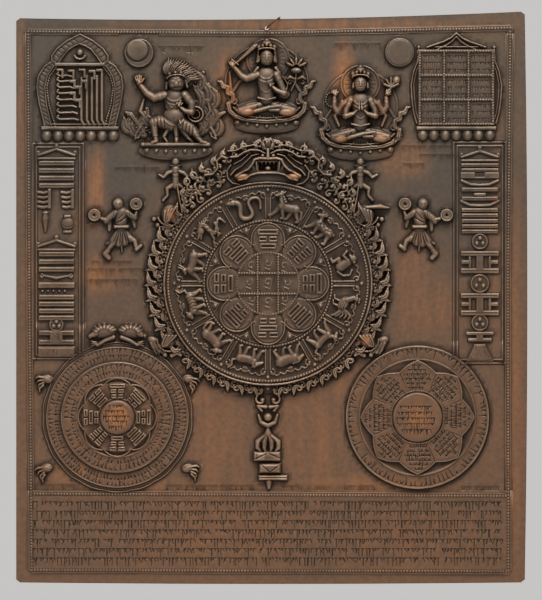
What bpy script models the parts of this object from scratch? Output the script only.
# Embossed copper wall plaque with a loose wire hanging ring.
# The sheet is worked from behind, so every raised form on the front is a hollow at the back.
# The front faces -Y, +Z is up, and the origin is the point where the ring hangs.
# Inside the relief all lengths are in metres, measured from the middle of the sheet.
import math

import bmesh
import bpy
import numpy as np
from mathutils import Matrix

MM = 0.001

# Sheet
PLATE_WIDTH = 400 * MM
PLATE_HEIGHT = 449 * MM
SHEET_THICKNESS = 1.2 * MM
CORNER_RADIUS = 2.4 * MM
TOP_SLOPE = 5.2 * MM          # the right end of the top edge stands this much higher than the left
TOP_HOLLOW = 3.4 * MM         # dip of the top edge at its middle
SIDE_SWELL = 2.0 * MM         # the right edge bellies out by this much
BOTTOM_SWELL = 1.2 * MM       # the bottom edge bellies down by this much

# Hanging ring and the hole it passes through
RING_DIAMETER = 15.0 * MM
WIRE_DIAMETER = 1.3 * MM
HOLE_CLEARANCE = 0.35 * MM
HOLE_FROM_TOP = 7.4 * MM
HOLE_FROM_MIDDLE = -3.0 * MM
RING_LEAN = math.radians(50)

# Beaded border and the inscription panel
BORDER_LEFT = 9.0 * MM
BORDER_RIGHT = 12.6 * MM
BORDER_TOP = 11.6 * MM
BORDER_BOTTOM = 9.8 * MM
ROPE_WIDTH = 3.6 * MM
ROPE_RELIEF = 1.0 * MM
TEXT_BAND = 58.5 * MM

# Great wheel, and the beast that holds it
WHEEL_ABOVE_MIDDLE = 10.4 * MM
WHEEL_RADIUS = 78.0 * MM
WHEEL_RELIEF = 5.2 * MM
RIM_WIDTH = 4.6 * MM
RIM_RELIEF = 1.5 * MM
LOTUS_RADIUS = 49.5 * MM
HUB_RADIUS = 24.4 * MM
SPOKE_WIDTH = 3.0 * MM
ANIMAL_RELIEF = 3.2 * MM
FLAME_RELIEF = 4.4 * MM
BEAST_RELIEF = 8.6 * MM
HAND_RELIEF = 7.2 * MM

# Seated and striding figures: heights from seat or foot to crown
MIDDLE_FIGURE_HEIGHT = 72.0 * MM
RIGHT_FIGURE_HEIGHT = 68.0 * MM
FIERCE_FIGURE_HEIGHT = 74.0 * MM
FIGURE_RELIEF = 8.4 * MM
MIDDLE_FIGURE_BELOW_TOP = 76.0 * MM
SIDE_FIGURE_BELOW_TOP = 100.0 * MM
SIDE_FIGURE_SPREAD = 72.6 * MM
DRUMMER_HEIGHT = 49.0 * MM
DRUMMER_RELIEF = 5.0 * MM
DRUMMER_BELOW_TOP = 165.0 * MM
DRUMMER_SPREAD = 117.0 * MM

# Niches, number board, sun and moon
NICHE_WIDTH = 67.0 * MM
NICHE_HEIGHT = 76.0 * MM
NICHE_RELIEF = 2.6 * MM
NICHE_FROM_SIDE = 50.3 * MM
NICHE_BASE_BELOW_TOP = 97.0 * MM
BOARD_SIDE = 60.0 * MM
BOARD_FROM_SIDE = 54.0 * MM
LAMP_RADIUS = 11.8 * MM
LAMP_RELIEF = 2.6 * MM
LAMP_BELOW_TOP = 28.4 * MM
LAMP_SPREAD = 102.4 * MM

# Narrow sign panels at the two sides
PANEL_HEIGHT = 170.0 * MM
PANEL_WIDTH = 38.0 * MM
PANEL_BELOW_TOP = 99.0 * MM
BAR_WIDTH = 3.0 * MM
BAR_RELIEF = 2.0 * MM

# Pendant under the wheel
PENDANT_HEIGHT = 72.0 * MM
PENDANT_RELIEF = 4.6 * MM

# The two round charts below
LEFT_CHART_RADIUS = 56.6 * MM
RIGHT_CHART_RADIUS = 56.6 * MM
CHART_RELIEF = 2.2 * MM
CHART_STEP = 1.5 * MM
CHART_BOSS = 2.4 * MM
LEFT_CHART_FROM_SIDE = 79.8 * MM
RIGHT_CHART_FROM_SIDE = 84.6 * MM
CHART_ABOVE_BOTTOM = 130.0 * MM

# Small offsets of hand work
WHEEL_OFF_MIDDLE = -2.0 * MM
MIDDLE_FIGURE_OFF_MIDDLE = -3.0 * MM
RIGHT_FIGURE_OFF_SPREAD = -2.0 * MM
FIERCE_FIGURE_OFF_SPREAD = -3.0 * MM
LAMPS_OFF_MIDDLE = -1.0 * MM
PANEL_GAP = 1.5 * MM
PANEL_LINE = 1.2 * MM
LEFT_PANEL_CUT = 8.0 * MM
RIGHT_PANEL_CUT = 14.0 * MM

# Back of the sheet: how far the punches round off the hollows, and how deep they follow the front
BACK_ROUNDING = 2.2 * MM
BACK_FOLLOWS = 0.88

# Fineness of the model
RELIEF_STEP = 1.1 * MM
RELIEF_MARGIN = 4.0 * MM
SHEET_TRIANGLES = 9800

COLLECTION = "relief_plaque"
COPPER = (0.13, 0.075, 0.05, 1.0)
WIRE_COPPER = (0.09, 0.06, 0.045, 1.0)


class Relief:
    """Heights of the front above the flat ground, on a regular net of points."""

    def __init__(self, width, height, step):
        self.step = step
        self.x = np.arange(-width / 2, width / 2 + step, step)
        self.z = np.arange(-height / 2, height / 2 + step, step)
        self.rise = np.zeros((len(self.z), len(self.x)))

    def window(self, low_x, high_x, low_z, high_z):
        """The part of the net inside a rectangle: index ranges and coordinates."""
        i0, i1 = np.searchsorted(self.x, (low_x - self.step, high_x + self.step))
        j0, j1 = np.searchsorted(self.z, (low_z - self.step, high_z + self.step))
        return slice(j0, j1), slice(i0, i1), self.x[None, i0:i1], self.z[j0:j1, None]

    def sample(self, x, z):
        """Rise at any points, read between the points of the net."""
        fx = np.clip((x - self.x[0]) / self.step, 0, len(self.x) - 1.001)
        fz = np.clip((z - self.z[0]) / self.step, 0, len(self.z) - 1.001)
        i, j = fx.astype(int), fz.astype(int)
        tx, tz = fx - i, fz - j
        low = self.rise[j, i] * (1 - tx) + self.rise[j, i + 1] * tx
        high = self.rise[j + 1, i] * (1 - tx) + self.rise[j + 1, i + 1] * tx
        return low * (1 - tz) + high * tz


class Pen:
    """Draws forms in a figure's own units, placed, turned and scaled on the relief."""

    def __init__(self, relief, x, z, unit, turn=0.0, flip=1, level=0.0):
        self.relief, self.x, self.z, self.unit = relief, x, z, unit
        self.turn, self.flip, self.level = turn, flip, level

    def at(self, a, b):
        """Place of a point of the drawing on the sheet."""
        c, s = math.cos(self.turn), math.sin(self.turn)
        a = a * self.flip
        return self.x + self.unit * (a * c - b * s), self.z + self.unit * (a * s + b * c)

    def moved(self, a, b, turn=0.0, scale=1.0, flip=1, lift=0.0):
        """A pen for a smaller drawing inside this one."""
        x, z = self.at(a, b)
        return Pen(self.relief, x, z, self.unit * scale, self.turn + turn * self.flip,
                   self.flip * flip, self.level + lift)

    def _raise(self, rows, columns, rise):
        part = self.relief.rise[rows, columns]
        part[...] = np.where(rise > 0, np.maximum(part, rise + self.level), part)

    def _local(self, a, b, reach, turn):
        """Window round a point, with coordinates along and across its own axes."""
        x, z = self.at(a, b)
        r = reach * self.unit
        rows, columns, gx, gz = self.relief.window(x - r, x + r, z - r, z + r)
        angle = self.turn + turn * self.flip
        c, s = math.cos(angle), math.sin(angle)
        across = ((gx - x) * c + (gz - z) * s) / self.unit
        along = (-(gx - x) * s + (gz - z) * c) / self.unit
        return rows, columns, across * self.flip, along

    def dome(self, a, b, ra, rb, peak, turn=0.0):
        rows, columns, u, v = self._local(a, b, max(ra, rb), turn)
        inside = np.clip(1 - (u / ra) ** 2 - (v / rb) ** 2, 0, 1)
        self._raise(rows, columns, peak * inside ** 0.5)

    def disc(self, a, b, ra, rb, peak, bevel=1.5, turn=0.0):
        rows, columns, u, v = self._local(a, b, max(ra, rb), turn)
        edge = (1 - np.hypot(u / ra, v / rb)) * min(ra, rb)
        self._raise(rows, columns, peak * np.clip(edge / bevel, 0, 1))

    def ring(self, a, b, ra, rb, width, peak):
        rows, columns, u, v = self._local(a, b, max(ra, rb) + width, 0.0)
        off = np.abs(np.hypot(u / ra, v / rb) - 1) * min(ra, rb) / (width / 2)
        self._raise(rows, columns, peak * np.clip(1 - off ** 2, 0, 1) ** 0.5)

    def block(self, a, b, half_a, half_b, peak, bevel=0.8, turn=0.0):
        rows, columns, u, v = self._local(a, b, math.hypot(half_a, half_b), turn)
        edge = np.minimum(half_a - np.abs(u), half_b - np.abs(v))
        self._raise(rows, columns, peak * np.clip(edge / bevel, 0, 1))

    def limb(self, points, peak):
        """A rounded tapering form along (a, b, radius) points."""
        for (a0, b0, r0), (a1, b1, r1) in zip(points, points[1:]):
            x0, z0 = self.at(a0, b0)
            x1, z1 = self.at(a1, b1)
            r0, r1 = r0 * self.unit, r1 * self.unit
            r = max(r0, r1)
            rows, columns, gx, gz = self.relief.window(min(x0, x1) - r, max(x0, x1) + r,
                                                       min(z0, z1) - r, max(z0, z1) + r)
            dx, dz = x1 - x0, z1 - z0
            t = ((gx - x0) * dx + (gz - z0) * dz) / max(dx * dx + dz * dz, 1e-12)
            t = np.clip(t, 0, 1)
            off = np.hypot(gx - x0 - t * dx, gz - z0 - t * dz)
            radius = r0 + (r1 - r0) * t
            inside = np.clip(1 - (off / np.maximum(radius, 1e-9)) ** 2, 0, 1)
            self._raise(rows, columns, peak * inside ** 0.5 * (0.55 + 0.45 * radius / r))

    def curl(self, a, b, radius, start, sweep, width, peak, end=0.25):
        """A scroll: an arc whose radius shrinks to a share of itself."""
        points = []
        for k in range(9):
            t = k / 8
            angle = start + sweep * t
            r = radius * (1 - (1 - end) * t)
            points.append((a + r * math.cos(angle), b + r * math.sin(angle),
                           width * (0.6 + 0.4 * t)))
        self.limb(points, peak)

    def flame(self, a, b, length, width, lean, peak, turn=0.0):
        """A tongue of fire: a leaf that bends to its tip."""
        part = self.moved(a, b, turn)
        points = []
        for k in range(7):
            t = k / 6
            points.append((lean * length * math.sin(t * 2.6) * t, length * t,
                           width * max(0.12, math.sin(math.pi * (0.25 + 0.72 * t)))))
        part.limb(points, peak)


# Layout

def layout():
    """Places on the sheet that follow from its edges."""
    half_w, half_h = PLATE_WIDTH / 2, PLATE_HEIGHT / 2
    place = {"left": -half_w, "right": half_w, "top": half_h, "bottom": -half_h}
    place["border"] = (-half_w + BORDER_LEFT, half_w - BORDER_RIGHT,
                       -half_h + BORDER_BOTTOM, half_h - BORDER_TOP)
    place["text_top"] = place["border"][2] + TEXT_BAND
    place["wheel"] = (WHEEL_OFF_MIDDLE, WHEEL_ABOVE_MIDDLE)
    place["hole"] = (HOLE_FROM_MIDDLE, top_edge(HOLE_FROM_MIDDLE) - HOLE_FROM_TOP)
    return place


def top_edge(x):
    """Height of the hand-cut top edge above the middle of the sheet."""
    u = x / (PLATE_WIDTH / 2)
    return PLATE_HEIGHT / 2 - TOP_SLOPE * (1 - u) / 2 - TOP_HOLLOW * (1 - u * u)


def corner_drop(x):
    """Rounding of the corners, as a drop of the edge near the ends of the sheet."""
    into = abs(x) - (PLATE_WIDTH / 2 - CORNER_RADIUS)
    if into <= 0:
        return 0.0
    return CORNER_RADIUS - math.sqrt(max(CORNER_RADIUS ** 2 - into ** 2, 0))


def sheet_point(u, v):
    """Maps -1..1 across and up the sheet to its hand-cut outline."""
    x = u * PLATE_WIDTH / 2
    top = top_edge(x) - corner_drop(x)
    low = -PLATE_HEIGHT / 2 - BOTTOM_SWELL * (1 - u * u) + corner_drop(x)
    if u > 0:
        x += SIDE_SWELL * u * (1 - v * v)
    return x, low + (top - low) * (v + 1) / 2


# Sheet-wide parts

def rope_border(relief, place):
    left, right, low, high = place["border"]
    lift = top_edge(right) - top_edge(left)
    bars = [((left, low), (right, low)), ((left, high - lift / 2), (right, high)),
            ((left, low), (left, high - lift / 2)), ((right, low), (right, high)),
            ((left, place["text_top"]), (right, place["text_top"]))]
    pen = Pen(relief, 0, 0, 1.0)
    for (x0, z0), (x1, z1) in bars:
        pen.limb([(x0, z0, ROPE_WIDTH / 2), (x1, z1, ROPE_WIDTH / 2)], ROPE_RELIEF)


def lotus_row(pen, half, count, radius, peak):
    """A row of rounded petals, which a throne or a niche stands on."""
    for k in range(count):
        a = -half + 2 * half * k / (count - 1)
        pen.dome(a, 0, radius, radius * 1.15, peak)


# Figures

def crowned_head(pen, b, peak):
    pen.dome(0, b, 7.4, 9.3, peak)
    pen.limb([(-8, b + 7, 2.0), (0, b + 9, 2.4), (8, b + 7, 2.0)], peak)
    for a, rise in ((-6.5, 12), (0, 17), (6.5, 12)):
        pen.limb([(a, b + 8, 2.6), (a * 0.9, b + rise, 1.4)], peak * 0.9)


def crossed_seat(pen, peak):
    """Crossed legs, and the lotus throne under them."""
    rim = [(-38, 6, 3.2), (-30, -2, 3.4), (-15, -8, 3.6), (0, -10, 3.8),
           (15, -8, 3.6), (30, -2, 3.4), (38, 6, 3.2)]
    pen.limb(rim, peak * 0.62)
    pen.dome(0, -3, 33, 11, peak * 0.42)
    for k in range(5):
        pen.dome(-21 + 10.5 * k, -14.6, 4.8, 3.8, peak * 0.55)
    pen.limb([(-26, -20, 2.2), (26, -20, 2.2)], peak * 0.35)
    for side in (-1, 1):
        pen.limb([(side * 5, 5, 5.5), (side * 21, 0, 5.6), (side * 27, 1, 3.6)], peak * 0.8)
    pen.limb([(-20, -2, 3.6), (10, 4, 3.4)], peak * 0.92)


def torso(pen, peak):
    pen.limb([(0, 35, 10.5), (0, 26, 8.4), (0, 15, 8.8)], peak * 0.86)
    pen.limb([(-8, 13, 2.2), (8, 13, 2.2)], peak * 0.92)


def scarves(pen, peak):
    for side in (-1, 1):
        pen.limb([(side * 12, 32, 2.4), (side * 30, 40, 2.0), (side * 44, 30, 2.4),
                  (side * 33, 15, 2.6), (side * 39, 5, 2.0)], peak)


def halo(pen, b, radius, peak):
    pen.disc(0, b, radius, radius, peak * 0.5)
    pen.ring(0, b, radius, radius, 3.0, peak)


def middle_figure(relief, place):
    """Seated figure with a raised sword and a flower."""
    unit = MIDDLE_FIGURE_HEIGHT / 92
    z = place["top"] - MIDDLE_FIGURE_BELOW_TOP
    pen = Pen(relief, MIDDLE_FIGURE_OFF_MIDDLE, z, unit)
    peak = FIGURE_RELIEF
    halo(pen, 52, 21, peak * 0.3)
    scarves(pen, peak * 0.4)
    crossed_seat(pen, peak)
    torso(pen, peak)
    crowned_head(pen, 54.6, peak)
    pen.limb([(-9, 37, 4.4), (-22, 34, 3.6), (-33, 47, 2.8)], peak * 0.85)
    pen.limb([(-32, 48, 1.6), (-12, 65, 1.4)], peak * 0.75)
    pen.limb([(9, 37, 4.4), (17, 19, 3.6), (5, 28, 3.0)], peak * 0.98)
    pen.limb([(24, 8, 1.6), (33, 24, 2.0), (30, 38, 1.8)], peak * 0.5)
    for a, b, r in ((30, 40, 6), (24, 49, 4), (37, 49, 4), (31, 54, 4)):
        pen.dome(a, b, r, r, peak * 0.62)


def praying_figure(relief, place):
    """Seated figure with joined hands, and a flower and beads in the outer hands."""
    unit = RIGHT_FIGURE_HEIGHT / 87
    x = SIDE_FIGURE_SPREAD + RIGHT_FIGURE_OFF_SPREAD
    pen = Pen(relief, x, place["top"] - SIDE_FIGURE_BELOW_TOP, unit)
    peak = FIGURE_RELIEF
    halo(pen, 30, 34, peak * 0.26)
    halo(pen, 52, 19, peak * 0.34)
    scarves(pen, peak * 0.4)
    crossed_seat(pen, peak)
    torso(pen, peak)
    crowned_head(pen, 54.0, peak)
    for side in (-1, 1):
        pen.limb([(side * 9, 36, 4.2), (side * 14, 21, 3.4), (side * 2, 32, 2.6)], peak)
        pen.limb([(side * 10, 36, 3.6), (side * 26, 31, 3.0), (side * 33, 47, 2.4)], peak * 0.66)
        pen.dome(side * 34, 54, 4.6, 4.6, peak * 0.6)
    pen.limb([(0, 28, 2.8), (0, 37, 1.8)], peak * 1.04)


def fierce_figure(relief, place):
    """Striding figure in a ring of fire."""
    unit = FIERCE_FIGURE_HEIGHT / 95
    x = -SIDE_FIGURE_SPREAD + FIERCE_FIGURE_OFF_SPREAD
    pen = Pen(relief, x, place["top"] - SIDE_FIGURE_BELOW_TOP, unit)
    peak = FIGURE_RELIEF
    for k in range(13):
        angle = math.radians(-38 + 256 * k / 12)
        pen.flame(33 * math.cos(angle), 24 + 35 * math.sin(angle), 15, 4.2, 0.3, peak * 0.45,
                  angle - math.pi / 2)
    pen.disc(0, 26, 36, 36, peak * 0.2, 2.0)
    lotus_row(pen.moved(0, -15), 28, 7, 4.6, peak * 0.55)
    pen.limb([(-29, -8, 2.6), (29, -8, 2.6)], peak * 0.5)
    pen.limb([(-2, 14, 7.0), (-20, 15, 5.6), (-19, -4, 3.2)], peak * 0.85)
    pen.limb([(4, 14, 7.0), (15, 9, 5.8), (24, -4, 3.2)], peak * 0.85)
    pen.limb([(0, 10, 3.4), (0, -3, 3.0)], peak * 0.6)
    pen.dome(-1, 20, 11, 10, peak * 0.98)
    pen.limb([(-1, 36, 10), (-1, 28, 9)], peak * 0.86)
    pen.dome(-1, 50, 8.4, 8.8, peak)
    pen.limb([(-10, 60, 3.2), (0, 70, 3.6), (12, 66, 2.6), (19, 58, 2.0)], peak * 0.75)
    pen.limb([(-9, 40, 4.4), (-26, 41, 3.8), (-34, 53, 3.0)], peak * 0.84)
    pen.limb([(8, 40, 4.4), (14, 22, 3.8), (5, 29, 3.0)], peak)
    for side in (-1, 1):
        pen.limb([(side * 15, 42, 2.4), (side * 36, 34, 2.2), (side * 47, 22, 2.6),
                  (side * 34, 8, 2.6), (side * 37, 0, 2.0)], peak * 0.42)


def drummer(relief, place, side):
    """Dancing attendant with a round disc in each hand."""
    unit = DRUMMER_HEIGHT / 62
    pen = Pen(relief, side * DRUMMER_SPREAD, place["top"] - DRUMMER_BELOW_TOP, unit, flip=-side)
    peak = DRUMMER_RELIEF
    pen.limb([(-2, 3, 7.2), (-6, -12, 8.6)], peak * 0.7)
    pen.limb([(0, 12, 7.6), (-1, 3, 6.8)], peak * 0.9)
    pen.limb([(-8, -14, 3.2), (-12, -20, 2.8), (-15, -27, 2.8), (-12, -30, 2.6)], peak * 0.7)
    pen.limb([(6, -12, 3.4), (14, -18, 2.8), (18, -24, 2.8)], peak * 0.7)
    pen.dome(-3, 22, 6.0, 6.4, peak)
    pen.limb([(-5, 13, 3.8), (-15, 8, 3.0), (-22, 10, 2.4)], peak * 0.8)
    pen.limb([(5, 13, 3.8), (13, 9, 3.0), (15, 16, 2.2)], peak * 0.8)
    for a, b in ((-27, 11), (14, 22)):
        pen.disc(a, b, 6.6, 6.4, peak * 0.7)
        pen.ring(a, b, 3.8, 3.8, 2.4, peak * 0.85)


# Niches, board and signs

def ogee(half, shoulder, height, count=9):
    """Right half of a pointed arch: up the side, over the shoulder, to the point."""
    points = []
    for k in range(count):
        t = k / (count - 1)
        a = half * (1 - t) ** 0.8 * (1 + 0.18 * math.sin(math.pi * t))
        points.append((a, shoulder + (height - shoulder) * (t + 0.12 * math.sin(2 * math.pi * t))))
    return points


def arched_niche(relief, place):
    """Ogee niche with a monogram of bars and hooks, on a row of petals."""
    unit = NICHE_HEIGHT / 97
    x, z = place["left"] + NICHE_FROM_SIDE, place["top"] - NICHE_BASE_BELOW_TOP
    pen = Pen(relief, x, z, unit)
    wide = NICHE_WIDTH / 2 / unit
    lotus_row(pen.moved(0, -7), 33, 7, 5.2, NICHE_RELIEF * 1.2)
    pen.block(0, 0, wide * 0.92, 2.4, NICHE_RELIEF * 1.1)
    for side in (-1, 1):
        outer = [(side * (wide - 7), 3), (side * wide, 36), (side * (wide + 1), 48)]
        outer += [(side * a, b) for a, b in ogee(wide - 6, 62, 96)]
        pen.limb([(a, b, 4.0) for a, b in outer], NICHE_RELIEF * 0.9)
        inner = [(side * (wide - 15), 3), (side * (wide - 9), 34), (side * (wide - 13), 56)]
        pen.limb([(a, b, 1.9) for a, b in inner], NICHE_RELIEF * 0.8)
        pen.limb([(side * 24, 66, 2.2), (side * 22, 72, 2.0), (0, 84, 2.0)], NICHE_RELIEF)
    pen.block(0, 64, 25, 2.0, NICHE_RELIEF)
    pen.dome(0, 74, 3.6, 3.6, NICHE_RELIEF * 1.3)
    for k, a in enumerate((3.6, 9.0, 13.8, 18.0, 22.6)):
        pen.block(a, 29 + k * 0.4, 1.7, 27 - k, NICHE_RELIEF)
    for b in (57, 47, 37, 28, 19, 10):
        pen.limb([(-21, b, 2.0), (-13, b + 2, 2.2), (-5, b - 2, 1.8), (-8, b - 6, 1.4)],
                 NICHE_RELIEF * 0.9)


def number_board(relief, place):
    """Board of nine cells under a low gable, between two curved arms, on petals."""
    x = place["right"] - BOARD_FROM_SIDE
    z = place["top"] - NICHE_BASE_BELOW_TOP
    unit = BOARD_SIDE / 78
    pen = Pen(relief, x, z, unit)
    lotus_row(pen.moved(0, -6), 34, 7, 5.2, NICHE_RELIEF * 1.2)
    pen.block(0, 0, 41, 2.4, NICHE_RELIEF * 1.1)
    pen.block(0, 41, 39, 38, NICHE_RELIEF * 0.55)
    for k in range(4):
        pen.block(-37.5 + 25 * k, 41, 1.8, 38, NICHE_RELIEF)
        pen.block(0, 3.5 + 25 * k, 39, 1.8, NICHE_RELIEF)
    for side in (-1, 1):
        pen.limb([(side * 25, 84, 1.9), (side * 12, 88, 1.9), (0, 95, 1.9)], NICHE_RELIEF)
        pen.limb([(side * 41, 6, 1.9), (side * 44, 22, 1.9), (side * 46, 44, 1.9),
                  (side * 40, 66, 1.9), (side * 38, 82, 1.9)], NICHE_RELIEF * 0.9)


def sun_and_moon(relief, place):
    z = place["top"] - LAMP_BELOW_TOP
    moon = Pen(relief, -LAMP_SPREAD + LAMPS_OFF_MIDDLE, z, LAMP_RADIUS)
    moon.disc(0, 0, 1, 1, LAMP_RELIEF * 0.8, 0.16)
    moon.disc(-0.1, 0.19, 0.74, 0.74, LAMP_RELIEF * 1.15, 0.12)
    sun = Pen(relief, LAMP_SPREAD + LAMPS_OFF_MIDDLE, z, LAMP_RADIUS)
    sun.disc(0, 0, 1, 1, LAMP_RELIEF, 0.16)


def panel_frame(relief, x, top, corner_cut):
    """Flat narrow panel with a raised edge; a round chart cuts its lower corner."""
    pen = Pen(relief, x, top, 1.0)
    half, low = PANEL_WIDTH / 2, -PANEL_HEIGHT
    pen.limb([(-half, 0, PANEL_LINE), (half, 0, PANEL_LINE), (half, low + corner_cut, PANEL_LINE)],
             BAR_RELIEF * 0.4)
    pen.limb([(-half, 0, PANEL_LINE), (-half, low, PANEL_LINE)], BAR_RELIEF * 0.4)


def sign_bars(pen, half, levels):
    for b in levels:
        pen.block(0, b, half, BAR_WIDTH / 2 / pen.unit, BAR_RELIEF)


def left_panel(relief, place):
    x = place["border"][0] + PANEL_WIDTH / 2 + PANEL_GAP
    top = place["top"] - PANEL_BELOW_TOP
    panel_frame(relief, x, top, LEFT_PANEL_CUT)
    pen = Pen(relief, x, top, PANEL_HEIGHT / 216)
    for roof in (-9.5, -102):
        pen.limb([(-19, roof - 3, 2), (0, roof + 2, 2.6), (19, roof - 3, 2)], BAR_RELIEF)
        pen.dome(0, roof + 5, 2.6, 3, BAR_RELIEF)
    sign_bars(pen, 18, (-15, -21, -27, -33, -39, -108, -114, -120, -126, -135, -141))
    for side in (-1, 1):
        for k in range(3):
            pen.block(side * (4 + 6 * k), -56, 1.9, 10, BAR_RELIEF)
        pen.block(side * 10, -47, 8, 1.8, BAR_RELIEF)
    pen.limb([(-11, -69, 2.4), (-11, -88, 1.4)], BAR_RELIEF * 1.2)
    pen.dome(11, -78, 6, 7, BAR_RELIEF * 1.3)
    sign_bars(pen, 18, (-149, -155, -161, -167, -172, -187, -193, -203, -209))
    pen.disc(0, -180, 7, 7, BAR_RELIEF * 1.2)


def right_panel(relief, place):
    x = place["border"][1] - PANEL_WIDTH / 2 - PANEL_GAP
    top = place["top"] - PANEL_BELOW_TOP
    panel_frame(relief, x, top, RIGHT_PANEL_CUT)
    pen = Pen(relief, x, top, PANEL_HEIGHT / 216)
    pen.dome(0, -3, 2.6, 3, BAR_RELIEF)
    pen.limb([(-19, -13, 2), (0, -8, 2.6), (19, -13, 2)], BAR_RELIEF)
    sign_bars(pen, 19, (-16, -22.5, -29, -45, -54, -66, -71, -77, -82))
    for b in (-37, -59):
        pen.limb([(-17, b + 2, 1.8), (-9, b - 3, 2.2), (9, b - 3, 2.2), (17, b + 2, 1.8)],
                 BAR_RELIEF)
    for b, radius in ((-95, 8), (-138, 10), (-178, 9)):
        pen.disc(0, b, radius, radius, BAR_RELIEF * 0.7)
        for da, db in ((0, 3), (-3, -2), (3, -2)):
            pen.dome(da, b + db, 2.6, 2.6, BAR_RELIEF * 1.4)
    for b in (-117, -159):
        pen.block(0, b, 4, 10, BAR_RELIEF)
        pen.block(0, b + 9, 19, 2.4, BAR_RELIEF)
        pen.block(0, b - 9, 19, 2.4, BAR_RELIEF)
        pen.block(0, b, 19, 2, BAR_RELIEF)
    pen.block(0, -191, 14, 5, BAR_RELIEF)
    pen.limb([(0, -198, 4), (0, -206, 8)], BAR_RELIEF)
    pen.block(0, -212, 15, 2.6, BAR_RELIEF)


# Wheel and beast

def lotus_outline(pen, count, outer, inner, width, peak):
    """Lobes round a hub, each an arch between two valleys."""
    for k in range(count):
        points = []
        for j in range(9):
            t = -0.5 + j / 8
            angle = 2 * math.pi * (k + t) / count
            r = inner + (outer - inner) * math.cos(math.pi * t) ** 0.6
            points.append((r * math.sin(angle), r * math.cos(angle), width))
        pen.limb(points, peak)


def sign_block(pen, radius, size, peak):
    """Block of three rows, which stands in a lobe of the lotus."""
    for k in (-1, 0, 1):
        pen.block(0, radius + k * size * 0.42, size * 0.52, size * 0.17, peak, 0.6)


def animal(pen, kind, peak):
    """Small beast drawn from a few limbs, its back turned to the rim of the wheel."""
    long_neck = kind in (0, 1, 7, 11)
    if kind == 10:
        pen.limb([(-10, 5, 1.6), (-2, 7, 2.2), (0, -1, 2.0), (-7, -6, 2.0), (0, -9, 1.8),
                  (8, -4, 1.6), (12, 6, 1.2)], peak * 0.8)
        return
    pen.limb([(-6, 0, 4.6), (6, 0, 4.2)], peak)
    head = (-9, 10) if long_neck else (-12, 3)
    pen.limb([(-6, 1, 3.4), (head[0], head[1], 3.0), (head[0] - 4, head[1] - 1, 1.8)], peak * 0.9)
    for a, spread in ((-8, -3), (-4, 1), (4, -1), (8, 3)):
        pen.limb([(a, -2, 2.0), (a + spread, -9, 1.3)], peak * 0.7)
    pen.limb([(9, 1, 1.8), (14, -2, 1.3), (12, 7, 1.1)], peak * 0.6)


def wheel(relief, place):
    """Round calendar: hub of nine cells, eight-lobed lotus, twelve animals between spokes."""
    x, z = place["wheel"]
    unit = WHEEL_RADIUS / 99
    pen = Pen(relief, x, z, unit)
    pen.disc(0, 0, 104, 101, WHEEL_RELIEF, 3.5)
    top = pen.moved(0, 0, lift=WHEEL_RELIEF)
    rim = RIM_WIDTH / unit
    top.ring(0, 0, 100, 97.5, rim, RIM_RELIEF)
    top.ring(0, 0, 63.5, 62.5, rim * 0.7, RIM_RELIEF * 0.8)
    lobe = LOTUS_RADIUS / unit - 4
    lotus_outline(top, 8, lobe, lobe * 0.8, 1.9, RIM_RELIEF * 0.9)
    top.disc(0, 0, HUB_RADIUS / unit + 2, HUB_RADIUS / unit + 2, RIM_RELIEF * 0.5, 1.5)
    top.ring(0, 0, HUB_RADIUS / unit, HUB_RADIUS / unit, 3.4, RIM_RELIEF)
    for side in (-1, 1):
        top.block(side * 10, 0, 1.6, 29, RIM_RELIEF * 0.9)
        top.block(0, side * 10, 29, 1.6, RIM_RELIEF * 0.9)
    for k in range(8):
        sign_block(top.moved(0, 0, k * math.pi / 4), 44, 20, RIM_RELIEF)
    for k in range(12):
        spoke = top.moved(0, 0, -k * math.pi / 6)
        spoke.block(0, 76, SPOKE_WIDTH / 2 / unit, 12, RIM_RELIEF * 0.8)
        for side in (-1, 1):
            spoke.dome(side * 4.5, 89.5, 3.6, 3.6, RIM_RELIEF)
            spoke.limb([(side * 8, 91, 1.7), (side * 18, 90, 1.7)], RIM_RELIEF * 0.6)
        animal(top.moved(0, 0, -(k + 0.5) * math.pi / 6).moved(0, 79), k, ANIMAL_RELIEF)


def beast_flames(pen):
    """Tongues of fire and scrolls all round the wheel."""
    for side in (-1, 1):
        for k in range(15):
            angle = math.radians(62 - 140 * k / 14)
            c, s = math.cos(angle), math.sin(angle)
            near = 1.0 if k < 12 else 0.8
            pen.flame(side * 106 * c, 103 * s, 17 * near, 4.6, -0.25 * side, FLAME_RELIEF,
                      side * (angle - math.pi / 2) * 0.75)
            pen.curl(side * 107 * c, 104 * s, 5.0, angle, 3.6 * side, 1.8, FLAME_RELIEF * 0.8)
    for k in range(19):
        a = -62 + 124 * k / 18
        pen.flame(a, 118 - a * a / 190, 20 - abs(a) / 9, 4.6, 0.22 * (1 if a > 0 else -1),
                  FLAME_RELIEF, -a / 110)


def beast_face(pen):
    """Wide jaws over the top of the wheel, with eyes, brows and mane above."""
    peak = BEAST_RELIEF
    pen.dome(0, 114, 56, 26, peak * 0.62)
    for side in (-1, 1):
        pen.limb([(0, 126, 4), (side * 14, 124, 4.6), (side * 22, 112, 5), (side * 33, 104, 6),
                  (side * 20, 104, 4.6), (0, 106, 4.2)], peak * 0.86)
        pen.dome(side * 5.2, 126, 3.2, 3.2, peak)
        pen.limb([(side * 6, 131, 3), (side * 22, 129, 4), (side * 34, 119, 4),
                  (side * 44, 120, 3.4)], peak * 0.84)
        pen.curl(side * 46, 116, 7, math.pi / 2, side * -4.2, 2.2, peak * 0.72)
        pen.dome(side * 56, 98, 8, 6.5, peak * 0.6)


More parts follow.
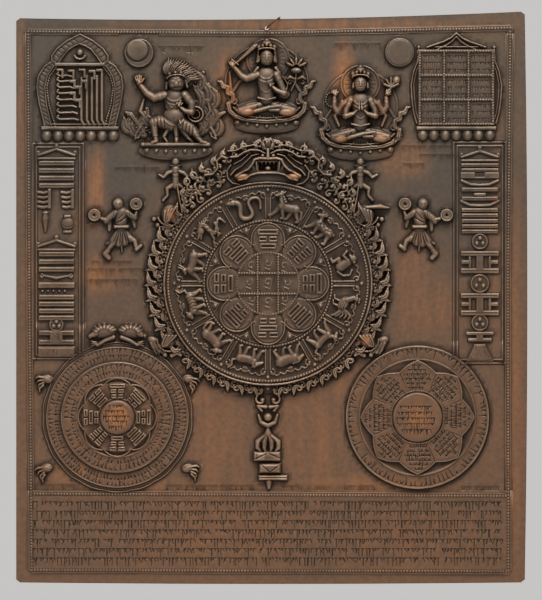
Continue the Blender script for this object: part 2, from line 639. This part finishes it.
def beast_hand(pen, peak):
    """Fist round a stick, with a cuff of round nails."""
    pen.dome(0, 0, 8, 10, peak)
    pen.limb([(-4, 6, 3), (4, 0, 3.2), (5, -7, 3)], peak * 0.96)
    for k in range(6):
        angle = math.radians(200 + 26 * k)
        pen.dome(15 * math.cos(angle), 15 * math.sin(angle) + 2, 2.5, 2.5, peak * 0.6)


def stick_figure(pen, side, peak):
    """Small splayed figure on top of a stick."""
    pen.limb([(0, 0, 1.7), (side * -6, -40, 1.7), (side * -10, -64, 1.5)], peak)
    pen.limb([(0, 1, 4.6), (0, -14, 3.4)], peak)
    pen.dome(0, 7, 4.2, 4.6, peak * 1.1)
    for s in (-1, 1):
        pen.limb([(0, -1, 2.6), (s * 9, -5, 2.0), (s * 15, -5, 1.5)], peak * 0.8)
        pen.limb([(0, -14, 2.6), (s * 7, -19, 2.0), (s * 11, -29, 1.6)], peak * 0.8)


def beast(relief, place):
    x, z = place["wheel"]
    pen = Pen(relief, x, z, WHEEL_RADIUS / 99)
    pen.disc(0, 4, 116, 112, FLAME_RELIEF * 0.55, 6)
    pen.dome(0, 104, 92, 42, FLAME_RELIEF * 0.8)
    beast_flames(pen)
    beast_face(pen)
    for side in (-1, 1):
        beast_hand(pen.moved(side * 98, 69, flip=side), HAND_RELIEF)
        beast_hand(pen.moved(side * 98.5, -56, 0.7 * side, flip=side), HAND_RELIEF)
        stick_figure(pen.moved(side * 92, 112), side, FLAME_RELIEF)


def pendant(relief, place):
    """Tassel of scrolls, moon, claw and bars under the wheel."""
    unit = PENDANT_HEIGHT / 92
    pen = Pen(relief, place["wheel"][0], place["wheel"][1] - 103 * WHEEL_RADIUS / 99, unit)
    peak = PENDANT_RELIEF
    for side in (-1, 1):
        pen.curl(side * 9, -4, 8, math.pi / 2, side * 4.0, 2.4, peak)
        pen.limb([(side * 2, -14, 3), (side * 9, -18, 2.2), (side * 4, -24, 2)], peak * 0.9)
        pen.limb([(side * 3, -36, 2.4), (side * 8, -31, 2), (side * 8, -27, 1.4)], peak * 0.7)
    pen.limb([(-9, -27, 1.6), (-6, -36, 2.4), (6, -36, 2.4), (9, -27, 1.6)], peak * 0.9)
    pen.dome(0, -30, 4.8, 4.8, peak)
    pen.limb([(0, -40, 3.4), (0, -46, 4.6)], peak * 0.8)
    for a in (-9, -3, 3, 9):
        pen.limb([(a * 0.4, -46, 2.4), (a, -54, 3.0), (a * 1.1, -62, 2.6)], peak)
    pen.block(-1, -69, 14, 5.4, peak * 0.8, 2)
    pen.block(2, -81, 11, 5.4, peak * 0.9, 3)
    pen.block(5, -91, 15, 3, peak * 0.7, 1.4)


# Round charts

def left_chart(relief, place):
    """Tortoise chart: stepped rings, lotus of eight signs, boss, heads and feet at the edge."""
    unit = LEFT_CHART_RADIUS / 72
    pen = Pen(relief, place["left"] + LEFT_CHART_FROM_SIDE,
              place["bottom"] + CHART_ABOVE_BOTTOM, unit)
    pen.disc(0, 0, 75, 74, CHART_RELIEF, 2)
    pen.ring(0, 0, 71, 70, 3, CHART_RELIEF * 1.4)
    step = pen.moved(0, 0, lift=CHART_RELIEF)
    step.disc(0, 0, 56, 55, CHART_STEP, 2)
    step.ring(0, 0, 55, 54, 3, CHART_STEP * 1.5)
    upper = step.moved(0, 0, lift=CHART_STEP)
    upper.ring(0, 0, 39, 38, 3, RIM_RELIEF * 0.7)
    lotus_outline(upper, 8, 36, 29, 1.6, RIM_RELIEF * 0.7)
    for k in range(8):
        sign_block(upper.moved(0, 0, k * math.pi / 4), 26.5, 13, RIM_RELIEF)
    upper.dome(0, 0, 18, 18, CHART_BOSS)
    for side in (-1, 1):
        pen.limb([(side * 4, 78, 5), (side * 14, 86, 6), (side * 24, 80, 4)], CHART_RELIEF * 1.8)
        for up in (-1, 1):
            b = 37 if up > 0 else -51
            pen.limb([(side * 64, b, 4), (side * 73, b + 3 * up, 3.6), (side * 80, b, 2.2)],
                     CHART_RELIEF * 1.5)


def right_chart(relief, place):
    """Chart with eight pointed petals round a flat boss."""
    unit = RIGHT_CHART_RADIUS / 72
    pen = Pen(relief, place["right"] - RIGHT_CHART_FROM_SIDE,
              place["bottom"] + CHART_ABOVE_BOTTOM, unit)
    pen.disc(0, 0, 72, 72, CHART_RELIEF, 2)
    step = pen.moved(0, 0, lift=CHART_RELIEF)
    step.ring(0, 0, 70.5, 70.5, 3, CHART_STEP * 0.5)
    step.ring(0, 0, 57.5, 57.5, 3, CHART_STEP * 0.5)
    lotus_outline(step, 8, 56, 46, 1.8, CHART_STEP)
    for k in range(8):
        leaf = step.moved(0, 0, k * math.pi / 4)
        leaf.dome(0, 41, 13, 16, CHART_STEP)
    step.disc(0, 0, 25.5, 25.5, CHART_BOSS, 2)


# Solids

def new_object(name, bm, collection):
    mesh = bpy.data.meshes.new(name)
    bm.to_mesh(mesh)
    bm.free()
    obj = bpy.data.objects.new(name, mesh)
    collection.objects.link(obj)
    return obj


def metal(name, color, roughness):
    material = bpy.data.materials.new(name)
    material.use_nodes = True
    shader = material.node_tree.nodes["Principled BSDF"]
    shader.inputs["Base Color"].default_value = color
    shader.inputs["Metallic"].default_value = 1.0
    shader.inputs["Roughness"].default_value = roughness
    return material


def punched_back(relief):
    """Heights of the back: the front's forms, shallower and without their fine lines."""
    reach = round(BACK_ROUNDING / relief.step)
    low = relief.rise * BACK_FOLLOWS
    for axis in (0, 1):
        low = np.min([np.roll(low, k, axis) for k in range(-reach, reach + 1)], axis=0)
    for axis in (0, 1):
        low = np.mean([np.roll(low, k, axis) for k in range(1 - reach, reach)], axis=0)
    back = Relief(PLATE_WIDTH, PLATE_HEIGHT, relief.step)
    back.x, back.z, back.rise = relief.x, relief.z, low
    return back


def plaque(relief, hang, collection):
    """Sheet with the relief on its front and its hollows behind, thinned where it is flat."""
    columns = round(PLATE_WIDTH / RELIEF_STEP)
    rows = round(PLATE_HEIGHT / RELIEF_STEP)
    bm = bmesh.new()
    bmesh.ops.create_grid(bm, x_segments=columns, y_segments=rows, size=1.0)
    x, z = np.array([sheet_point(v.co.x, v.co.y) for v in bm.verts]).T
    front_rise = relief.sample(x, z)
    back_rise = punched_back(relief).sample(x, z)
    bmesh.ops.extrude_face_region(bm, geom=list(bm.faces), use_keep_orig=True)
    count = len(x)
    for index, vert in enumerate(bm.verts):
        k = index % count
        if index < count:
            depth = SHEET_THICKNESS / 2 - back_rise[k]
        else:
            depth = -SHEET_THICKNESS / 2 - front_rise[k]
        vert.co = (x[k] - hang[0], depth, z[k] - hang[1])
    bmesh.ops.recalc_face_normals(bm, faces=bm.faces)
    sheet = new_object("plaque", bm, collection)
    thin = sheet.modifiers.new("thin", "DECIMATE")
    thin.ratio = SHEET_TRIANGLES / (4 * columns * rows)
    thin.use_collapse_triangulate = True
    sheet.data.materials.append(metal("patinated_copper", COPPER, 0.45))
    return sheet


def pierce(sheet, hole, hang, cutters):
    """Round hole near the top edge, a little wider than the wire."""
    radius = WIRE_DIAMETER / 2 + HOLE_CLEARANCE
    bm = bmesh.new()
    turned = Matrix.Rotation(math.pi / 2, 4, "X")
    bmesh.ops.create_cone(bm, cap_ends=True, segments=16, radius1=radius, radius2=radius,
                          depth=6 * SHEET_THICKNESS, matrix=turned)
    cutter = new_object("ring_hole", bm, cutters)
    cutter.location = (hole[0] - hang[0], 0, hole[1] - hang[1])
    cutter.hide_render = True
    cutter.display_type = "WIRE"
    cut = sheet.modifiers.new("hole", "BOOLEAN")
    cut.operation = "DIFFERENCE"
    cut.solver = "EXACT"
    cut.object = cutter


def hanging_ring(hole, hang, collection):
    """Closed wire ring, square to the sheet, leaning over to the right."""
    major = (RING_DIAMETER - WIRE_DIAMETER) / 2
    bpy.ops.mesh.primitive_torus_add(major_segments=32, minor_segments=8, major_radius=major,
                                     minor_radius=WIRE_DIAMETER / 2)
    ring = bpy.context.object
    ring.name = ring.data.name = "hanging_ring"
    for owner in list(ring.users_collection):
        owner.objects.unlink(ring)
    collection.objects.link(ring)
    centre = (hole[0] + major * math.sin(RING_LEAN) - hang[0], 0,
              hole[1] + major * math.cos(RING_LEAN) - hang[1])
    ring.rotation_euler = (0, math.pi / 2 + RING_LEAN, 0)
    ring.location = centre
    ring.data.shade_smooth()
    ring.data.materials.append(metal("drawn_copper_wire", WIRE_COPPER, 0.4))
    return ring


def hang_point(hole):
    """Inside of the ring at its far end from the hole, where a nail would bear."""
    reach = RING_DIAMETER - 1.5 * WIRE_DIAMETER
    return hole[0] + reach * math.sin(RING_LEAN), hole[1] + reach * math.cos(RING_LEAN)


def main():
    for obj in list(bpy.data.objects):
        bpy.data.objects.remove(obj)
    collection = bpy.data.collections.new(COLLECTION)
    cutters = bpy.data.collections.new("cutters")
    bpy.context.scene.collection.children.link(collection)
    bpy.context.scene.collection.children.link(cutters)

    place = layout()
    relief = Relief(PLATE_WIDTH + 2 * RELIEF_MARGIN, PLATE_HEIGHT + 2 * RELIEF_MARGIN, RELIEF_STEP)
    rope_border(relief, place)
    arched_niche(relief, place)
    number_board(relief, place)
    sun_and_moon(relief, place)
    left_panel(relief, place)
    right_panel(relief, place)
    left_chart(relief, place)
    right_chart(relief, place)
    beast(relief, place)
    wheel(relief, place)
    pendant(relief, place)
    fierce_figure(relief, place)
    middle_figure(relief, place)
    praying_figure(relief, place)
    for side in (-1, 1):
        drummer(relief, place, side)

    hang = hang_point(place["hole"])
    sheet = plaque(relief, hang, collection)
    pierce(sheet, place["hole"], hang, cutters)
    hanging_ring(place["hole"], hang, collection)


main()
